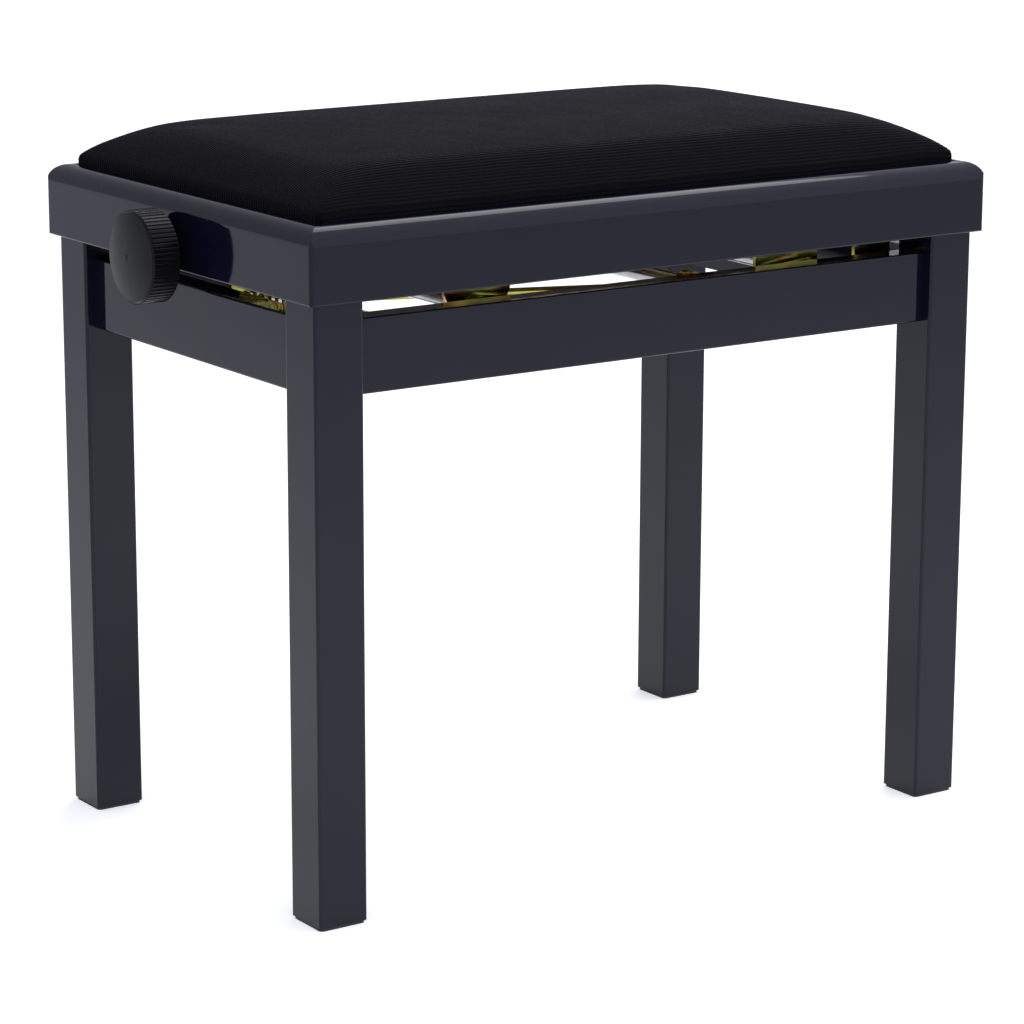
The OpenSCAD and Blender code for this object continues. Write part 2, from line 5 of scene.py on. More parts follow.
import bpy
import numpy as np
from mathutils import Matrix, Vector
from mathutils.bvhtree import BVHTree


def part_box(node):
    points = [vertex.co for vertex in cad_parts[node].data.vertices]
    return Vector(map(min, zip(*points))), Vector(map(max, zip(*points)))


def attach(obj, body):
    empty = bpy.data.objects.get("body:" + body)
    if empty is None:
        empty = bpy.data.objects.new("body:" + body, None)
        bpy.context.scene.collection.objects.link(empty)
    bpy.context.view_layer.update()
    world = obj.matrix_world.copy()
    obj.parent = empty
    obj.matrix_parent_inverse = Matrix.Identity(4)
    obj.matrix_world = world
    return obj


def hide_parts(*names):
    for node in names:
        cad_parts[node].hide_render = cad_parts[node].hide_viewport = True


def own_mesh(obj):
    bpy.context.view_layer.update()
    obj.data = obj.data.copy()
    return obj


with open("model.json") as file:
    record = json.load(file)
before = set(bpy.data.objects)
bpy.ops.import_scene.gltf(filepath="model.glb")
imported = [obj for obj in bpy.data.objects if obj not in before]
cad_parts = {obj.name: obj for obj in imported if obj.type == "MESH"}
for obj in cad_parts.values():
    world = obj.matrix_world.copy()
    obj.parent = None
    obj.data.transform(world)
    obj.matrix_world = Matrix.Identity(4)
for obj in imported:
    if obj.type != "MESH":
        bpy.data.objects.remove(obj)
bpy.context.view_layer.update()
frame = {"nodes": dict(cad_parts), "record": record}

MM = 0.001


# ---------------------------------------------------------------- node helpers

# a colour Mix node's sockets by place, because its kinds share their names
MIX_FACTOR = 0
MIX_A = 6
MIX_B = 7
MIX_RESULT = 2


class Nodes:
    """A short way to write one material's node tree."""

    def __init__(self, name):
        self.material = bpy.data.materials.new(name)
        self.material.use_nodes = True
        self.tree = self.material.node_tree
        self.tree.nodes.clear()
        self.output = self.tree.nodes.new("ShaderNodeOutputMaterial")
        self.shader = self.tree.nodes.new("ShaderNodeBsdfPrincipled")
        self.link(self.shader.outputs["BSDF"], self.output.inputs["Surface"])

    def link(self, source, target):
        self.tree.links.new(source, target)

    def add(self, kind, **settings):
        node = self.tree.nodes.new("ShaderNode" + kind)
        for key, value in settings.items():
            setattr(node, key, value)
        return node

    def feed(self, node, **inputs):
        """Sets or links a node's inputs by name; spaces in a name are written as _."""
        for key, value in inputs.items():
            socket = node.inputs[key.replace("_", " ")]
            if isinstance(value, bpy.types.NodeSocket):
                self.link(value, socket)
            else:
                socket.default_value = value
        return node

    def shade(self, **inputs):
        self.feed(self.shader, **inputs)

    def position(self, scale=(1, 1, 1), rotation=(0, 0, 0)):
        """Object coordinates, scaled and turned. Every piece's object sits at the origin."""
        coordinates = self.add("TexCoord")
        mapping = self.add("Mapping")
        self.link(coordinates.outputs["Object"], mapping.inputs["Vector"])
        mapping.inputs["Scale"].default_value = scale
        mapping.inputs["Rotation"].default_value = rotation
        return mapping.outputs["Vector"]

    def noise(self, vector, scale, detail=3.0, roughness=0.5, distortion=0.0):
        node = self.add("TexNoise")
        self.feed(node, Vector=vector, Scale=scale, Detail=detail)
        self.feed(node, Roughness=roughness, Distortion=distortion)
        return node.outputs["Fac"]

    def ramp(self, fac, stops):
        """Colour ramp from (place, colour) stops; a colour is a grey or an (r, g, b)."""
        node = self.add("ValToRGB")
        elements = node.color_ramp.elements
        while len(elements) < len(stops):
            elements.new(0.5)
        for element, (place, colour) in zip(elements, stops):
            rgb = (colour,) * 3 if isinstance(colour, (int, float)) else colour
            element.position = place
            element.color = (*rgb, 1.0)
        self.link(fac, node.inputs["Fac"])
        return node.outputs["Color"]

    def scalar(self, operation, a, b=0.0):
        node = self.add("Math", operation=operation)
        for socket, value in zip(node.inputs, (a, b)):
            if isinstance(value, bpy.types.NodeSocket):
                self.link(value, socket)
            else:
                socket.default_value = value
        return node.outputs["Value"]

    def to_unit(self, wave):
        """Takes a wave between -1 and 1 to one between 0 and 1."""
        node = self.add("Math", operation="MULTIPLY_ADD")
        self.link(wave, node.inputs[0])
        node.inputs[1].default_value = 0.5
        node.inputs[2].default_value = 0.5
        return node.outputs["Value"]

    def mix(self, fac, a, b, blend="MIX"):
        node = self.add("Mix", data_type="RGBA", blend_type=blend)
        sockets = [node.inputs[place] for place in (MIX_FACTOR, MIX_A, MIX_B)]
        for socket, value in zip(sockets, (fac, a, b)):
            if isinstance(value, bpy.types.NodeSocket):
                self.link(value, socket)
            elif isinstance(value, (int, float)):
                socket.default_value = value
            else:
                socket.default_value = (*value, 1.0)
        return node.outputs[MIX_RESULT]

    def bump(self, height, distance, strength=1.0, normal=None):
        node = self.add("Bump")
        self.feed(node, Height=height, Distance=distance, Strength=strength)
        if normal is not None:
            self.link(normal, node.inputs["Normal"])
        return node.outputs["Normal"]


# ---------------------------------------------------------------- materials

def lacquer():
    """Black high-gloss lacquer: a faintly blue black with polish haze and a slow surface wave."""
    m = Nodes("black_lacquer")
    place = m.position()
    haze = m.noise(place, 9.0, detail=4.0, roughness=0.6)
    fine = m.noise(place, 260.0, detail=2.0)
    colour = m.ramp(haze, [(0.3, (0.0026, 0.0030, 0.0088)), (0.7, (0.0036, 0.0040, 0.0112))])
    mixed = m.scalar("ADD", m.scalar("MULTIPLY", haze, 0.8), m.scalar("MULTIPLY", fine, 0.2))
    rough = m.ramp(mixed, [(0.35, 0.045), (0.65, 0.085)])
    wave = m.noise(place, 26.0, detail=1.0)
    m.shade(Base_Color=colour, Roughness=rough, IOR=1.34)
    m.shade(Normal=m.bump(wave, 0.00009))
    return m.material


def corduroy():
    """Black ribbed velvet. The ribs are geometry; this adds pile, nap and painted shade in the
    grooves.
    """
    m = Nodes("pad_fabric")
    uv = m.add("UVMap", uv_map="cloth").outputs["UV"]
    place = m.position()
    split = m.add("SeparateXYZ")
    m.link(uv, split.inputs["Vector"])
    phase = m.scalar("MULTIPLY", split.outputs["Y"], 2 * math.pi)
    crest = m.to_unit(m.scalar("COSINE", phase))
    nap = m.noise(place, 17.0, detail=5.0, roughness=0.62, distortion=0.6)
    pile = m.noise(m.position(scale=(0.35, 1.0, 1.0)), 1500.0, detail=2.0)
    brushed = m.ramp(nap, [(0.32, (0.0020, 0.0019, 0.0028)), (0.68, (0.0056, 0.0052, 0.0070))])
    on_crest = m.scalar("MULTIPLY", crest, 0.8)
    # painted shade: the colour is darkened toward the grooves between the ribs
    groove_painted_shade = m.mix(0.8, brushed, (0.0, 0.0, 0.0))
    crested = m.mix(on_crest, groove_painted_shade, brushed)
    speckled = m.mix(m.scalar("MULTIPLY", pile, 0.35), crested, (0.0084, 0.0079, 0.0104))
    rough = m.ramp(nap, [(0.3, 0.82), (0.7, 0.95)])
    m.shade(Base_Color=speckled, Roughness=rough, IOR=1.35, Specular_IOR_Level=0.08)
    m.shade(Sheen_Weight=0.13, Sheen_Roughness=0.28, Sheen_Tint=(0.62, 0.58, 0.72, 1.0))
    m.shade(Normal=m.bump(pile, 0.00022, strength=0.8))
    return m.material


def knob_plastic():
    """Satin black moulding with a fine spark-eroded grain and patches of handling polish."""
    m = Nodes("black_plastic")
    place = m.position()
    grain = m.noise(place, 2400.0, detail=2.0)
    cloud = m.noise(place, 55.0, detail=3.0)
    colour = m.ramp(cloud, [(0.3, (0.0026, 0.0025, 0.0028)), (0.7, (0.0042, 0.0040, 0.0043))])
    rough = m.ramp(cloud, [(0.3, 0.16), (0.7, 0.30)])
    m.shade(Base_Color=colour, Roughness=rough, IOR=1.22)
    m.shade(Normal=m.bump(grain, 0.00003))
    return m.material


def rubber():
    """Matt black glide with scuffs."""
    m = Nodes("glide_plastic")
    place = m.position()
    scuff = m.noise(place, 420.0, detail=4.0, roughness=0.7)
    colour = m.ramp(scuff, [(0.35, 0.006), (0.75, 0.02)])
    rough = m.ramp(scuff, [(0.3, 0.55), (0.8, 0.85)])
    m.shade(Base_Color=colour, Roughness=rough)
    m.shade(Normal=m.bump(scuff, 0.00005))
    return m.material


STREAK_COLOUR = (0.06, 0.05, 0.04)


def plated(name, colours, rough, scratch_scale=(8.0, 900.0, 900.0), patch=38.0, wave=0.0):
    """Plated or ground metal: patches of colour, rolling scratches and an uneven gloss."""
    m = Nodes(name)
    place = m.position()
    patches = m.noise(place, patch, detail=3.0, roughness=0.5, distortion=0.5)
    scratches = m.noise(m.position(scale=scratch_scale), 1.0, detail=3.0, roughness=0.7)
    colour = m.ramp(patches, colours)
    streaked = m.mix(m.scalar("MULTIPLY", scratches, 0.35), colour, STREAK_COLOUR)
    m.shade(Base_Color=streaked, Metallic=1.0)
    mean = m.scalar("MULTIPLY", m.scalar("ADD", patches, scratches), 0.5)
    m.shade(Roughness=m.ramp(mean, rough))
    buckle = m.bump(m.noise(place, 45.0, detail=1.0), wave)
    m.shade(Normal=m.bump(scratches, 0.00004, normal=buckle))
    return m.material


PLY = 0.0026                            # thickness of one ply of the seat board, in metres


def wood(name, light, dark, ring_scale, layered=False):
    """Bare timber along X; a layered board also shows its plies on the edges."""
    m = Nodes(name)
    grain_place = m.position(scale=(1.2, 22.0, 22.0))
    grain = m.noise(grain_place, ring_scale, detail=6.0, roughness=0.62, distortion=1.4)
    pore = m.noise(m.position(scale=(6.0, 160.0, 160.0)), 9.0, detail=2.0)
    mixed = m.scalar("ADD", m.scalar("MULTIPLY", grain, 0.8), m.scalar("MULTIPLY", pore, 0.2))
    colour = m.ramp(mixed, [(0.36, dark), (0.50, light), (0.66, tuple(0.8 * c for c in light))])
    if layered:
        split = m.add("SeparateXYZ")
        m.link(m.position(), split.inputs["Vector"])
        plies = m.scalar("SINE", m.scalar("MULTIPLY", split.outputs["Z"], 2 * math.pi / PLY))
        shade = m.ramp(m.to_unit(plies), [(0.2, 0.55), (0.8, 1.0)])
        colour = m.mix(0.35, colour, shade, blend="MULTIPLY")
    m.shade(Base_Color=colour, Roughness=m.ramp(pore, [(0.3, 0.55), (0.7, 0.75)]))
    m.shade(Normal=m.bump(mixed, 0.00018))
    return m.material


MATERIALS = {
    "black_lacquer": lacquer(),
    "pad_fabric": corduroy(),
    "black_plastic": knob_plastic(),
    "glide_plastic": rubber(),
    "yellow_zinc": plated("yellow_zinc", [
        (0.34, (0.34, 0.17, 0.05)), (0.46, (0.58, 0.40, 0.09)),
        (0.56, (0.40, 0.42, 0.09)), (0.68, (0.42, 0.22, 0.12)),
    ], [(0.3, 0.10), (0.7, 0.22)], patch=16.0, wave=0.0012),
    "fastener_zinc": plated("fastener_zinc", [
        (0.35, (0.52, 0.40, 0.16)), (0.65, (0.60, 0.54, 0.34)),
    ], [(0.3, 0.14), (0.7, 0.28)]),
    "bright_steel": plated("bright_steel", [
        (0.35, (0.34, 0.34, 0.34)), (0.65, (0.48, 0.48, 0.47)),
    ], [(0.3, 0.12), (0.7, 0.26)], scratch_scale=(900.0, 8.0, 900.0), wave=0.0003),
    "bronze": plated("bronze", [
        (0.35, (0.36, 0.18, 0.06)), (0.65, (0.52, 0.30, 0.12)),
    ], [(0.3, 0.18), (0.7, 0.32)]),
    "raw_wood": wood("raw_wood", (0.30, 0.19, 0.095), (0.17, 0.10, 0.045), 5.0),
    "plywood": wood("plywood", (0.040, 0.034, 0.030), (0.016, 0.014, 0.012), 3.2, layered=True),
}


def paint(piece, slot):
    """Gives a piece its slot's material alone."""
    piece.data.materials.clear()
    piece.data.materials.append(MATERIALS[slot])


for subpart in frame["record"]["subparts"]:
    paint(frame["nodes"][subpart["node"]], subpart["material_slot"])


# ---------------------------------------------------------------- mesh helpers

def mesh_piece(name, points, faces, slot, smooth=True):
    """New mesh object in the row frame, in metres."""
    data = bpy.data.meshes.new(name)
    data.from_pydata([tuple(p) for p in points], [], faces)
    data.validate()
    data.update()
    if smooth:
        data.polygons.foreach_set("use_smooth", [True] * len(data.polygons))
    piece = bpy.data.objects.new(name, data)
    bpy.context.scene.collection.objects.link(piece)
    paint(piece, slot)
    return piece


def tube(path, radius, sides=10):
    """Points and faces of a round closed tube along a path; its section doesn't twist."""
    path = np.asarray(path, float)
    ahead = np.gradient(path, axis=0)
    ahead /= np.linalg.norm(ahead, axis=1)[:, None]
    side = np.cross(ahead[0], (0.0, 0.0, 1.0) if abs(ahead[0][2]) < 0.9 else (1.0, 0.0, 0.0))
    turn = np.arange(sides) * 2 * math.pi / sides
    points = []
    for place, along in zip(path, ahead):
        side = side - along * np.dot(side, along)
        side /= np.linalg.norm(side)
        other = np.cross(along, side)
        points += [place + radius * (math.cos(t) * side + math.sin(t) * other) for t in turn]
    faces = []
    for i in range(len(path) - 1):
        for j in range(sides):
            k = (j + 1) % sides
            faces.append((i * sides + j, i * sides + k, (i + 1) * sides + k, (i + 1) * sides + j))
    faces.append(tuple(range(sides - 1, -1, -1)))
    faces.append(tuple(range((len(path) - 1) * sides, len(path) * sides)))
    return points, faces


def grid_faces(nx, ny):
    """Quads of an nx by ny grid of points."""
    return [(i * ny + j, (i + 1) * ny + j, (i + 1) * ny + j + 1, i * ny + j + 1)
            for i in range(nx - 1) for j in range(ny - 1)]


def grid_edge(nx, ny):
    """The grid's outer points, in order round it."""
    edge = [i * ny for i in range(nx)] + [(nx - 1) * ny + j for j in range(1, ny)]
    return edge + [i * ny + ny - 1 for i in range(nx - 2, -1, -1)] + list(range(ny - 2, 0, -1))


def vertex_array(data, kind):
    """A mesh's points or normals as an array."""
    values = np.empty(len(data.vertices) * 3)
    data.vertices.foreach_get(kind, values)
    return values.reshape(-1, 3)


# ---------------------------------------------------------------- cushion

PAD_LOW, PAD_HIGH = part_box("seat_pad")
RIB_ROOM = 0.4 * MM                     # left at the sides for the ribs
PAD_X = PAD_HIGH[0] - RIB_ROOM          # half length of the cushion's plan
PAD_Y = PAD_HIGH[1] - RIB_ROOM
PAD_CORNER = 4.5 * MM                   # plan radius of the corners
PAD_FOOT = PAD_LOW[2]                   # where the pad sits on its board
WALL_H = 6.3 * MM                       # side wall above the frame's top
PAD_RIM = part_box("seat_rail_front")[1][2] + WALL_H     # where the wall turns into the border
BORDER_W = 34 * MM                      # width of the sloping border
BORDER_H = 23.2 * MM
BORDER_CURVE = 1.48                     # 1 is a straight slope, 2 a parabola level at the top
MITRE_POWER = 2.1                       # higher makes the border's mitres at the corners sharper
CROWN_H = 0.5 * MM                      # rise of the middle before the cover is blown up
EASE_REACH = 7 * MM                     # how far round it a shoulder's height is averaged
EASE_START = 4 * MM                     # inset at which that begins
EASE_WIDTH = 14 * MM                    # and the inset over which it grows
EASE_SHIFTS = ((0, 0), (1, 0), (-1, 0), (0, 1), (0, -1),
               (0.7, 0.7), (0.7, -0.7), (-0.7, 0.7), (-0.7, -0.7))
COVER_GRID = (105, 65)                  # points along and across the simulated cover
COVER_VOXEL = 6 * MM
COVER_DROP = 1 * MM                     # the cover starts this much lower
COVER_SHARE = 0.97                      # and with this share of the stuffed shape's height
COVER_HOLD = 2.5 * MM                   # it is held from this far below the rim
COVER_PRESSURE = 4.0
COVER_FRAMES = 20
SWELL_SHARE = 0.25                      # share of the free swelling that is kept
SWELL_CAP = 12 * MM
SWELL_INSET = 5 * MM                    # the swelling is sampled no nearer the edge than this
SWELL_SMOOTHING = 8                     # passes
RIB_PITCH = 2.9 * MM
RIB_H = 0.42 * MM
RIB_SAMPLES = 7                         # rows of points to a rib
RIB_POWER = 0.75                        # below 1 makes the ribs round and the grooves narrow
RIB_LEVEL = 0.6                         # share of a rib's height that is sunk in the cushion
RIB_END = 8.5 * MM                      # ribs fade out this far below the rim
RIB_FADE = 2 * MM
EDGE_X = 22 * MM                        # end lane with closer points
EDGE_STEPS = 26
MIDDLE_STEPS = 42
LIP = 2.6 * MM                          # rounding of the top edge
LIP_SHARE = 0.75
WALL_DROPS = [*(np.linspace(0, 1, 15)[1:] * 7.4 * MM), 10 * MM, 14 * MM, 16.4 * MM]
WALL_FOOT = 16 * MM                     # below this the wall stands on the board
FOOT_SHARE = 0.992                      # plan of the cushion's foot
TUCK_W = 1.3 * MM                       # a corner tuck's half width
TUCK_UP = 19 * MM                       # how far it runs up from the corner
TUCK_DEPTH = 0.9 * MM


def crown(x, y):
    """The stuffed shape above its rim: a sloping border, soft mitres and a nearly level top."""
    in_x = np.maximum(PAD_X - np.abs(x), 1e-6)
    in_y = np.maximum(PAD_Y - np.abs(y), 1e-6)
    inset = (in_x ** -MITRE_POWER + in_y ** -MITRE_POWER) ** (-1 / MITRE_POWER)
    border = 1 - (1 - np.clip(inset / BORDER_W, 0, 1)) ** BORDER_CURVE
    return BORDER_H * border + CROWN_H * (1 - (x / PAD_X) ** 2) * (1 - (y / PAD_Y) ** 2)


def rounded_plan(x, y):
    """Rounds the plan's corners: each corner square becomes a quarter disc."""
    inner_x = np.clip(x, -(PAD_X - PAD_CORNER), PAD_X - PAD_CORNER)
    inner_y = np.clip(y, -(PAD_Y - PAD_CORNER), PAD_Y - PAD_CORNER)
    dx, dy = x - inner_x, y - inner_y
    reach = np.hypot(dx, dy)
    longer = np.maximum(np.abs(dx), np.abs(dy))
    scale = np.where(reach > 1e-9, longer / np.maximum(reach, 1e-9), 1.0)
    return inner_x + dx * scale, inner_y + dy * scale


def soft_crown(x, y):
    """The crown with its shoulders eased, as foam does under cloth."""
    inset = np.minimum(PAD_X - np.abs(x), PAD_Y - np.abs(y))
    reach = EASE_REACH * np.clip((inset - EASE_START) / EASE_WIDTH, 0, 1)
    heights = (crown(x + a * reach, y + b * reach) for a, b in EASE_SHIFTS)
    return sum(heights) / len(EASE_SHIFTS)


def evaluated_mesh(piece):
    """A new mesh of a piece with its modifiers applied, at the scene's present frame."""
    shown = piece.evaluated_get(bpy.context.evaluated_depsgraph_get())
    return bpy.data.meshes.new_from_object(shown)


def small_pad():
    """A slightly small copy of the stuffed shape, remeshed evenly for the cloth simulation."""
    nx, ny = COVER_GRID
    xs = np.linspace(-PAD_X, PAD_X, nx)
    ys = np.linspace(-PAD_Y, PAD_Y, ny)
    gx, gy = np.meshgrid(xs, ys, indexing="ij")
    height = PAD_RIM - COVER_DROP + COVER_SHARE * soft_crown(gx, gy)
    top = np.stack([gx, gy, height], -1).reshape(-1, 3)
    foot = top.copy()
    foot[:, 2] = PAD_FOOT
    count = nx * ny
    quads = grid_faces(nx, ny)
    edge = grid_edge(nx, ny)
    faces = quads + [tuple(count + i for i in reversed(q)) for q in quads]
    faces += [(a, a + count, b + count, b) for a, b in zip(edge, edge[1:] + edge[:1])]
    data = bpy.data.meshes.new("small_pad")
    data.from_pydata([tuple(p) for p in np.vstack([top, foot])], [], faces)
    pad = bpy.data.objects.new("small_pad", data)
    bpy.context.scene.collection.objects.link(pad)
    remesh = pad.modifiers.new("remesh", "REMESH")
    remesh.mode = "VOXEL"
    remesh.voxel_size = COVER_VOXEL
    pad.data = evaluated_mesh(pad)
    pad.modifiers.clear()
    return pad, xs, ys


def blown_up_cover():
    """Blows the small pad up as cloth. Returns a grid's x and y places and how far the cover
    stands there above the stuffed shape, in metres, less its tenth percentile."""
    pad, xs, ys = small_pad()
    start = vertex_array(pad.data, "co")
    held = pad.vertex_groups.new(name="held")
    below = np.flatnonzero(start[:, 2] < PAD_RIM - COVER_HOLD)
    held.add([int(i) for i in below], 1.0, "REPLACE")
    cloth = pad.modifiers.new("cloth", "CLOTH")
    cloth.settings.vertex_group_mass = "held"
    cloth.settings.use_pressure = True
    cloth.settings.uniform_pressure_force = COVER_PRESSURE
    cloth.settings.effector_weights.gravity = 0.0
    cloth.settings.tension_stiffness = 40.0
    cloth.settings.compression_stiffness = 40.0
    cloth.settings.shear_stiffness = 20.0
    cloth.settings.bending_stiffness = 2.0
    cloth.settings.quality = 6
    cloth.point_cache.frame_start = 1
    cloth.point_cache.frame_end = COVER_FRAMES
    for moment in range(1, COVER_FRAMES + 1):
        bpy.context.scene.frame_set(moment)
    blown = evaluated_mesh(pad)
    move = vertex_array(blown, "co") - start
    bpy.context.scene.frame_set(1)
    length = np.linalg.norm(move, axis=1)
    cap = np.minimum(1.0, SWELL_CAP / np.maximum(length, 1e-9))
    end = start + SWELL_SHARE * move * cap[:, None]
    polygons = [tuple(f.vertices) for f in blown.polygons]
    cover = BVHTree.FromPolygons([Vector(p) for p in end], polygons)
    rise = np.zeros(COVER_GRID)
    for i in range(len(xs)):
        for j in range(len(ys)):
            x = float(np.clip(xs[i], -PAD_X + SWELL_INSET, PAD_X - SWELL_INSET))
            y = float(np.clip(ys[j], -PAD_Y + SWELL_INSET, PAD_Y - SWELL_INSET))
            hit = cover.ray_cast(Vector((x, y, 1.0)), Vector((0, 0, -1)))[0]
            rise[i, j] = hit[2] - PAD_RIM - soft_crown(x, y) if hit else 0.0
    bpy.data.objects.remove(pad)
    return xs, ys, rise - np.percentile(rise, 10)


def grid_sample(xs, ys, values, x, y):
    """Bilinear values of a grid at places x, y."""
    i = np.clip(np.searchsorted(xs, x) - 1, 0, len(xs) - 2)
    j = np.clip(np.searchsorted(ys, y) - 1, 0, len(ys) - 2)
    u = np.clip((x - xs[i]) / (xs[i + 1] - xs[i]), 0, 1)
    v = np.clip((y - ys[j]) / (ys[j + 1] - ys[j]), 0, 1)
    low = values[i, j] * (1 - u) + values[i + 1, j] * u
    high = values[i, j + 1] * (1 - u) + values[i + 1, j + 1] * u
    return low * (1 - v) + high * v


def smoothed(values, passes):
    """A grid's values, each pass averaged with their four neighbours."""
    for _ in range(passes):
        padded = np.pad(values, 1, mode="edge")
        values = (padded[1:-1, 1:-1] * 4 + padded[:-2, 1:-1] + padded[2:, 1:-1]
                  + padded[1:-1, :-2] + padded[1:-1, 2:]) / 8
    return values


def plan_rows():
    """Places of the cushion's points along X and along Y, and the arc length up its front slope
    at fine steps of Y. Rows along Y are even in arc length, so every rib has as many."""
    lane = EDGE_X * np.arange(0, 1, 1 / EDGE_STEPS)
    half_x = np.concatenate([PAD_X - lane, np.linspace(0, PAD_X - EDGE_X, MIDDLE_STEPS)])
    half_x = np.unique(np.round(half_x, 7))
    xs = np.concatenate([-half_x[::-1], half_x[half_x > 1e-9]])
    fine = np.linspace(0, PAD_Y, 4001)
    profile = soft_crown(np.zeros_like(fine), fine)
    steps = np.hypot(np.diff(fine), np.diff(profile))
    arc = np.concatenate([[0], np.cumsum(steps)])
    rows = int(round(arc[-1] / RIB_PITCH * RIB_SAMPLES))
    half_y = np.interp(np.linspace(0, arc[-1], rows + 1), arc, fine)
    ys = np.concatenate([-half_y[:0:-1], half_y])
    return xs, ys, fine, arc


def cushion_top(xs, ys, fine, arc):
    """The top's points, and where each is among the ribs, in ribs from the middle."""
    gx, gy = np.meshgrid(xs, ys, indexing="ij")
    x, y = rounded_plan(gx, gy)
    z = PAD_RIM + soft_crown(x, y)
    sim_x, sim_y, rise = blown_up_cover()
    z = z + grid_sample(sim_x, sim_y, smoothed(rise, SWELL_SMOOTHING), x, y)
    inset = np.minimum(PAD_X - np.abs(gx), PAD_Y - np.abs(gy))
    z = z - LIP * (1 - np.sqrt(1 - (1 - np.clip(inset / LIP, 0, 1)) ** 2)) * LIP_SHARE
    rib = np.sign(gy) * np.interp(np.abs(gy), fine, arc) / RIB_PITCH
    # the ribs of real cloth aren't quite straight
    sway = 0.10 * np.sin(x * 41 + 1.3) * np.sin(y * 23) + 0.07 * np.sin(x * 97 + y * 31 + 0.7)
    return np.stack([x, y, z], -1).reshape(-1, 3), (rib + sway).reshape(-1)


def with_walls(top, phase, nx, ny):
    """Adds the side walls and the foot. Returns all points, their rib places and the faces."""
    edge = np.array(grid_edge(nx, ny))
    ring = top[edge]
    # how much a place on the wall faces the front or back, where the ribs run along it
    faces_y = np.clip((np.abs(ring[:, 1]) - (PAD_Y - PAD_CORNER)) / PAD_CORNER, 0, 1)
    faces_x = np.clip((np.abs(ring[:, 0]) - (PAD_X - PAD_CORNER)) / PAD_CORNER, 0, 1)
    along = faces_y / np.maximum(faces_x + faces_y, 1e-9)
    points = [top]
    phases = [phase]
    for drop in WALL_DROPS:
        level = ring.copy()
        level[:, 2] = np.maximum(ring[:, 2] - drop, PAD_FOOT)
        if drop > WALL_FOOT:
            level[:, :2] *= FOOT_SHARE
            level[:, 2] = PAD_FOOT
        points.append(level)
        phases.append(phase[edge] + np.sign(ring[:, 1]) * along * drop / RIB_PITCH)
    around = len(edge)
    faces = grid_faces(nx, ny)
    rings = [list(edge)]
    for k in range(len(WALL_DROPS)):
        first = nx * ny + k * around
        rings.append(list(range(first, first + around)))
    for upper, lower in zip(rings, rings[1:]):
        for a in range(around):
            b = (a + 1) % around
            faces.append((upper[a], lower[a], lower[b], upper[b]))
    faces.append(tuple(reversed(rings[-1])))
    return np.vstack(points), np.concatenate(phases), faces


def ribbed(points, phases, faces):
    """Raises the ribs along the normals and presses in a small tuck at each corner, where the
    cloth is folded round."""
    plain = bpy.data.meshes.new("plain_pad")
    plain.from_pydata([tuple(p) for p in points], [], faces)
    normals = vertex_array(plain, "normal")
    bpy.data.meshes.remove(plain)
    arch = np.abs(np.cos(math.pi * phases)) ** RIB_POWER - RIB_LEVEL
    shown = np.clip((points[:, 2] - (PAD_RIM - RIB_END)) / RIB_FADE, 0, 1)
    out_x = PAD_X - np.abs(points[:, 0])
    out_y = PAD_Y - np.abs(points[:, 1])
    across = (out_x - out_y) / math.sqrt(2)
    up = (out_x + out_y) / math.sqrt(2)
    tuck = np.exp(-(across / TUCK_W) ** 2) * np.clip(1 - up / TUCK_UP, 0, 1)
    return points + normals * (RIB_H * arch * shown - TUCK_DEPTH * tuck * shown)[:, None]


def cushion():
    """Ribbed-velvet seat cushion: the blown-up shape on a fine grid, with its ribs raised."""
    xs, ys, fine, arc = plan_rows()
    top, phase = cushion_top(xs, ys, fine, arc)
    points, phases, faces = with_walls(top, phase, len(xs), len(ys))
    points = ribbed(points, phases, faces)
    pad = mesh_piece("seat_cushion", points, faces, "pad_fabric")
    layer = pad.data.uv_layers.new(name="cloth")
    corner_vertex = np.empty(len(pad.data.loops), int)
    pad.data.loops.foreach_get("vertex_index", corner_vertex)
    uv = np.stack([points[corner_vertex, 0] / RIB_PITCH, phases[corner_vertex]], -1)
    layer.data.foreach_set("uv", uv.ravel())
    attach(pad, "seat")
    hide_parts("seat_pad")


# ---------------------------------------------------------------- spring and spindle

SPRING_OUTER = 8.0 * MM                 # outer radius of the coil
SPRING_WIRE = 1.20 * MM                 # radius of its wire
SPRING_PLUG = 8.0 * MM                  # how far the close-wound ends sit over their plugs
SPRING_TURNS = 18
SPRING_END_TURNS = 3                    # close-wound turns at each end
SPRING_STEPS = 26                       # points to a turn


def assist_spring():
    """Coil spring from the left apron's anchor to the pull rod, close wound over end plugs."""
    low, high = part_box("assist_spring")
    start = np.array([low[0], 0.0, high[2] - SPRING_OUTER])
    end = np.array([high[0], 0.0, low[2] + SPRING_OUTER])
    length = np.linalg.norm(end - start)
    ahead = (end - start) / length
    up = np.array([-ahead[2], 0.0, ahead[0]])
    side = np.array([0.0, 1.0, 0.0])
    radius = SPRING_OUTER - SPRING_WIRE
    tight = SPRING_PLUG + SPRING_WIRE
    turn_stops = (0, SPRING_END_TURNS, SPRING_TURNS - SPRING_END_TURNS, SPRING_TURNS)
    place_stops = (SPRING_WIRE, tight, length - tight, length - SPRING_WIRE)
    path = []
    for turn in np.linspace(0, SPRING_TURNS, SPRING_TURNS * SPRING_STEPS + 1):
        place = np.interp(turn, turn_stops, place_stops)
        a = 2 * math.pi * turn
        path.append(start + ahead * place + radius * (math.cos(a) * up + math.sin(a) * side))
    points, faces = tube(path, SPRING_WIRE)
    spring = mesh_piece("assist_spring_coil", points, faces, "yellow_zinc")
    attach(spring, "base")
    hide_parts("assist_spring")
    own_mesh(spring)


